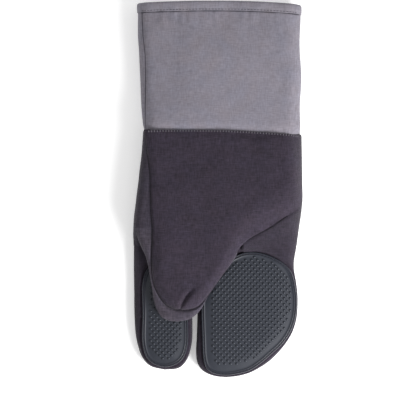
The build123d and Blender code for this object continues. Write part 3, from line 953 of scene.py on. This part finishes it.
def cuffRing(y, inset):
    left, right = float(sideAt(cuffLeft, y)) + inset, float(sideAt(cuffRight, y)) - inset
    towardsMouth = (y - 60) / 140
    tuck = cuff["tuck"] * smoothStep((70 - y) / 10)
    low = 0.4 + 1.0 * towardsMouth + inset + tuck
    high = handTop - 3.2 + 1.2 * towardsMouth - inset - tuck
    left, right = left + 0.8 * tuck, right - 0.8 * tuck
    r = max(cuff["corner"] - inset, 1)
    middles = ((right - r, high - r), (left + r, high - r), (left + r, low + r), (right - r, low + r))
    corners = []
    for quarter, (x, z) in enumerate(middles):
        for turn in range(0, 91, 15):
            a = math.radians(90 * quarter + turn)
            corners.append((x + r * math.cos(a), z + r * math.sin(a)))
    loop = evenly(np.array(corners), 360)
    ring = np.column_stack([loop[:, 0], np.full(len(loop), y), loop[:, 1]])
    ring[:, 1] -= mouthBow(ring[:, 0], y)
    flat = ring[:, [0, 1]]
    wave = ripple(flat, 52, 0.7) * cuff["waves"] + cuff["creases"] * ripple(flat, 17, 9.3)
    upper = np.clip((ring[:, 2] - 8) / 12, 0, 1)
    pucker = cuff["pucker"] * ripple(ring[:, [0, 0]], 8, 2.2) * np.exp(-((y - hemY + 5) / 8) ** 2)
    seamGap = np.abs(ring[:, 0] - float(sideAt(cuffSeam, y)))
    fallen = cuff["fallen"] * smoothStep((-22 - ring[:, 0]) / 52) * smoothStep((y - 62) / 45)
    wave = wave - fallen + pucker - cuff["seamDepth"] * np.exp(-(seamGap / 1.3) ** 2)
    ring[:, 2] += wave * upper
    fromMiddle = np.abs(2 * loop[:, 0] - left - right)
    ring[:, 0] += ripple(ring[:, [1, 2]], 40, 4.4) * 0.6 * fromMiddle / (right - left)
    return ring


def seamEnd(ring, y):
    # the cuff's end follows the wrist seam
    ring[:, 1] += seamAcross(ring[:, 0]) * np.clip(1 - (y - cuff["starts"]) / 30, 0, 1)
    return ring


cuffLeft, cuffRight, cuffSeam = (smoothLine(cuff[key]) for key in ("left", "right", "seam"))


def cuffTube(name, outside, inside, cloth):
    # a wall between two insets from the cuff's outer face
    steps = np.linspace(cuff["starts"], mouthY - cuff["shortOfMouth"], cuff["rows"])
    rings = [seamEnd(cuffRing(y, outside), y) for y in steps]
    rings += [seamEnd(cuffRing(y, inside), y) for y in steps[::-1]]
    return wear(loftRings(name, rings, "loop"), cloth)


def makeHem():
    rings = [cuffRing(hemY + min(y, mouthY - hemY), inset) for y, inset in hem["outside"] + hem["inside"]]
    return wear(loftRings("hemBand", rings, "loop"), cloths["hem"])


cuffCloth = cuffTube("cuffCloth", 0.0, cuff["cloth"], cloths["cuff"])
cuffLining = cuffTube("cuffLining", cuff["liningFrom"], cuff["wall"], cloths["inside"])
hemBand = makeHem()
print("stage: cuff and hem")


# threads and seams, in millimetres

stitches = {
    "hem": {"length": 2.4, "pitch": 3.4, "radius": 0.36, "sink": 0.25},
    "wrist": {"length": 2.3, "pitch": 3.0, "radius": 0.46, "sink": 0.2, "crosswise": True},
    "pad": {"length": 2.4, "pitch": 3.6, "radius": 0.24, "sink": 0.1},
}
# place along a stitch, share of its radius
threadForm = [(-0.5, 0.35), (-0.42, 0.85), (-0.2, 1.0), (0.2, 1.0), (0.42, 0.85), (0.5, 0.35)]
threadWidth = 1.25          # a stitch is pressed flat, so wider than it is high
threadLift = 0.05
threadSides = 6
lines = {
    "hem": {"ends": (-80, 82), "past": 1.5},
    "hemSeamShadow": {"ends": (-81, 85), "past": -0.35},
    "wrist": {"ends": (-74, 84), "past": -2.1},
    "cuffSide": {"starts": 64.0, "shortOfHem": 2.0},
}


def threadRow(name, path, thread, length, pitch, radius, sink, crosswise=False):
    # short rounded stitches along a path of x, y, z, or across it
    run = np.concatenate([[0], np.cumsum(np.linalg.norm(np.diff(path, axis=0), axis=1))])
    points, faces, count = [], [], 0
    around, rings = threadSides, len(threadForm)
    for middle in np.arange(pitch / 2, run[-1], pitch):
        start, end = (np.array([np.interp(middle + step, run, path[:, k]) for k in range(3)])
                      for step in (-length / 2, length / 2))
        centre, ahead = (start + end) / 2, end - start
        ahead = ahead / np.linalg.norm(ahead)
        across = np.cross((0, 0, 1), ahead)
        across = across / np.linalg.norm(across)
        up = np.cross(ahead, across)
        if crosswise:
            ahead, across = across, -ahead
        for at, wide in threadForm:
            for k in range(around):
                a = 2 * math.pi * k / around
                off = across * math.cos(a) * radius * wide * threadWidth
                off = off + up * (math.sin(a) * radius * wide + threadLift)
                points.append(centre + ahead * at * length + off - up * sink * (2 * at) ** 2)
        for r in range(rings - 1):
            for k in range(around):
                a, b = count + r * around + k, count + r * around + (k + 1) % around
                faces.append((a, b, b + around, a + around))
        faces.append(tuple(count + k for k in range(around))[::-1])
        faces.append(tuple(count + (rings - 1) * around + k for k in range(around)))
        count += rings * around
    made = tidyMesh(meshFrom(name, points, faces), merge=0.0001)
    return wear(made, thread)


def onTopOf(pieces, xy, lift=0.0):
    # the uppermost face of the pieces at each x, y, in millimetres
    out = []
    for x, y in xy:
        heights = []
        for piece in pieces:
            hit, place, _, _ = piece.ray_cast(Vector((x * mm, y * mm, 0.2)), Vector((0, 0, -1)))
            if hit:
                heights.append(place.z / mm + lift)
        if heights:
            out.append((x, y, max(heights)))
    return np.array(out)


def alongHem(line):
    x = np.linspace(*line["ends"], 160)
    return np.column_stack([x, hemY + line["past"] - mouthBow(x, hemY)])


def alongWrist(line):
    x = np.linspace(*line["ends"], 160)
    return np.column_stack([x, wristY + seamAcross(x) + line["past"]])


def thinLine(name, path, radius, thread, uneven=0.0):
    # a fine dark cord pressed into a seam, in a dark cloth that paints the seam's shadow
    radii = radius * (1 + uneven * 1.6 * ripple(path[:, :2], 9, 3.3))
    ahead = np.gradient(path, axis=0)
    ahead /= np.linalg.norm(ahead, axis=1)[:, None]
    across = np.cross((0, 0, 1), ahead)
    across /= np.linalg.norm(across, axis=1)[:, None]
    up = np.cross(ahead, across)
    turns = [2 * math.pi * k / threadSides for k in range(threadSides)]
    rings = []
    for place, r, sideways, upwards in zip(path, radii, across, up):
        rings.append([place + r * (sideways * math.cos(a) + upwards * math.sin(a)) for a in turns])
    return wear(loftRings(name, rings), thread)


def padStitches(name, groove, side):
    loop = np.vstack([groove, groove[:1]])
    path = np.column_stack([loop, padLow + padForm["threadHeight"] + lobeCrown(loop, side)])
    return threadRow(name, path, darkThread, **stitches["pad"])


hemRow = onTopOf([hemBand], alongHem(lines["hem"]), 0.1)
hemStitches = threadRow("hemStitches", hemRow, greyThread, **stitches["hem"])
wristRow = onTopOf([frontPanel], alongWrist(lines["wrist"]), 0.2)
wristStitches = threadRow("wristStitches", wristRow, wristThread, **stitches["wrist"])
indexThread = padStitches("indexPadStitches", indexGroove, indexSide)
fingersThread = padStitches("fingersPadStitches", fingersGroove, fingersSide)

# a painted shadow cord in the cuff's side seam, and one under the hem's folded edge
cuffSideY = np.linspace(lines["cuffSide"]["starts"], hemY - lines["cuffSide"]["shortOfHem"], 120)
cuffSide = np.column_stack([sideAt(cuffSeam, cuffSideY), cuffSideY])
cuffSideSeamShadow = thinLine("cuffSideSeamShadow", onTopOf([cuffCloth], cuffSide, 0.05), 0.34, greySeamShadow)
hemLine = onTopOf([cuffCloth], alongHem(lines["hemSeamShadow"]), 0.25)
hemSeamShadow = thinLine("hemSeamShadow", hemLine, 0.5, greySeamShadow, uneven=0.6)
# painted shadow cords along the front panel's seam, the palm's diagonal seam and the index lobe's seam
leftEdge = smoothLine(front["left"])
tipEdge = smoothLine(front["right"])[::-1]
frontEdge = np.vstack([leftEdge[8:-1], tipEdge[tipEdge[:, 1] < -104]])[::3]
frontSeamShadow = thinLine("frontSeamShadow", onTopOf([frontPanel, thumbInner, backPanel], frontEdge), 0.5, seamShadow)
palmEdge = tipEdge[(tipEdge[:, 0] > 26) & (tipEdge[:, 0] < 74) & (tipEdge[:, 1] < -20)][::2]
palmLine = onTopOf([frontPanel, fingersLobe], palmEdge, -0.1)
palmSeamShadow = thinLine("palmSeamShadow", palmLine, 0.36, seamShadow, uneven=0.5)
lobeJoin = np.column_stack([np.linspace(-88.8, -79.6, 24), np.linspace(-109.6, -110.8, 24)])
indexSeamShadow = thinLine("indexSeamShadow", onTopOf([indexLobe], lobeJoin), 0.28, seamShadow)
print("stage: stitches")


# what moves with what, in metres

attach(backPanel, "hand")
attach(wristStitches, "hand")
for piece in (frontPanel, thumbInner, frontSeamShadow, palmSeamShadow):
    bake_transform(piece)
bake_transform(indexLobe)
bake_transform(fingersLobe)
for piece in (cuffCloth, cuffLining):
    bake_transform(piece)
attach(hemBand, "cuff")
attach(hemStitches, "cuff")
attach(hemSeamShadow, "cuff")
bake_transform(cuffSideSeamShadow)
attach(indexPad, "index_finger")
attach(fingersPad, "fingers")
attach(indexThread, "index_finger")
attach(fingersThread, "fingers")
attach(indexSeamShadow, "index_finger")

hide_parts("cuff_front_panel", "cuff_back_panel", "cuff_felt", "wrist_fold")
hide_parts("cuff_lining")
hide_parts("hem_binding")
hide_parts("hem_stitching")
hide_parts("hand_front_panel", "hand_palm_wadding", "thumb_outer_panel", "thumb_fold")
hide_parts("hand_back_panel", "hand_back_wadding", "hand_lining")
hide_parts("wrist_stitching")
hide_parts("thumb_inner_panel", "thumb_wadding", "thumb_lining")
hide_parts("index_palm_panel", "index_back_panel", "index_wadding", "index_lining",
            "index_fold")
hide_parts("fingers_palm_panel", "fingers_back_panel", "fingers_wadding", "fingers_lining",
            "fingers_fold", "hand_palm_panel")
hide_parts("index_pad")
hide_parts("fingers_pad")
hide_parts("index_pad_stitching")
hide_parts("fingers_pad_stitching")

wear(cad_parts["thumb_pad"], padRubber)


# floor, light and camera, in metres

studio = {
    "floorGlow": 0.25,
    "key": (0.47, -0.45, 0.42),
    "keySize": 0.45,
    "keyPower": 10.4,
    "fill": (-0.9, 0.9, 1.6),
    "fillSize": 1.6,
    "fillPower": 4.4,
    "sky": 0.62,
}
# the picture is that wide at that level
shot = {"height": 3.0, "centre": (-0.0189, -0.0105), "wide": 0.42, "level": 0.02}


def paleFloor():
    bpy.ops.object.select_all(action="DESELECT")
    bpy.ops.mesh.primitive_plane_add(size=8, location=(0, 0, -0.0004))
    floor = bpy.context.object
    floor.name = "floor"
    made = bpy.data.materials.new("paleFloor")
    made.use_nodes = True
    shader = made.node_tree.nodes["Principled BSDF"]
    shader.inputs["Base Color"].default_value = (0.93, 0.93, 0.93, 1)
    shader.inputs["Roughness"].default_value = 0.9
    shader.inputs["Emission Color"].default_value = (1, 1, 1, 1)
    shader.inputs["Emission Strength"].default_value = studio["floorGlow"]
    floor.data.materials.append(made)


def softLight(name, place, size, power):
    bpy.ops.object.light_add(type="AREA", location=place)
    lamp = bpy.context.object
    lamp.name = name
    lamp.data.shape = "DISK"
    lamp.data.size = size
    lamp.data.energy = power
    lamp.rotation_euler = (-Vector(place)).to_track_quat("-Z", "Y").to_euler()


paleFloor()
softLight("keyLight", studio["key"], studio["keySize"], studio["keyPower"])
softLight("fillLight", studio["fill"], studio["fillSize"], studio["fillPower"])
world = bpy.data.worlds.new("studio")
bpy.context.scene.world = world
world.use_nodes = True
sky = world.node_tree.nodes["Background"]
sky.inputs["Color"].default_value = (1, 1, 1, 1)
sky.inputs["Strength"].default_value = studio["sky"]
bpy.context.scene.view_settings.view_transform = "Standard"

bpy.ops.object.camera_add(location=(*shot["centre"], shot["height"]), rotation=(0, 0, 0))
camera = bpy.context.object
camera.data.lens = camera.data.sensor_width * (shot["height"] - shot["level"]) / shot["wide"]
camera.data.clip_end = 20
bpy.context.scene.camera = camera
print("stage: studio")
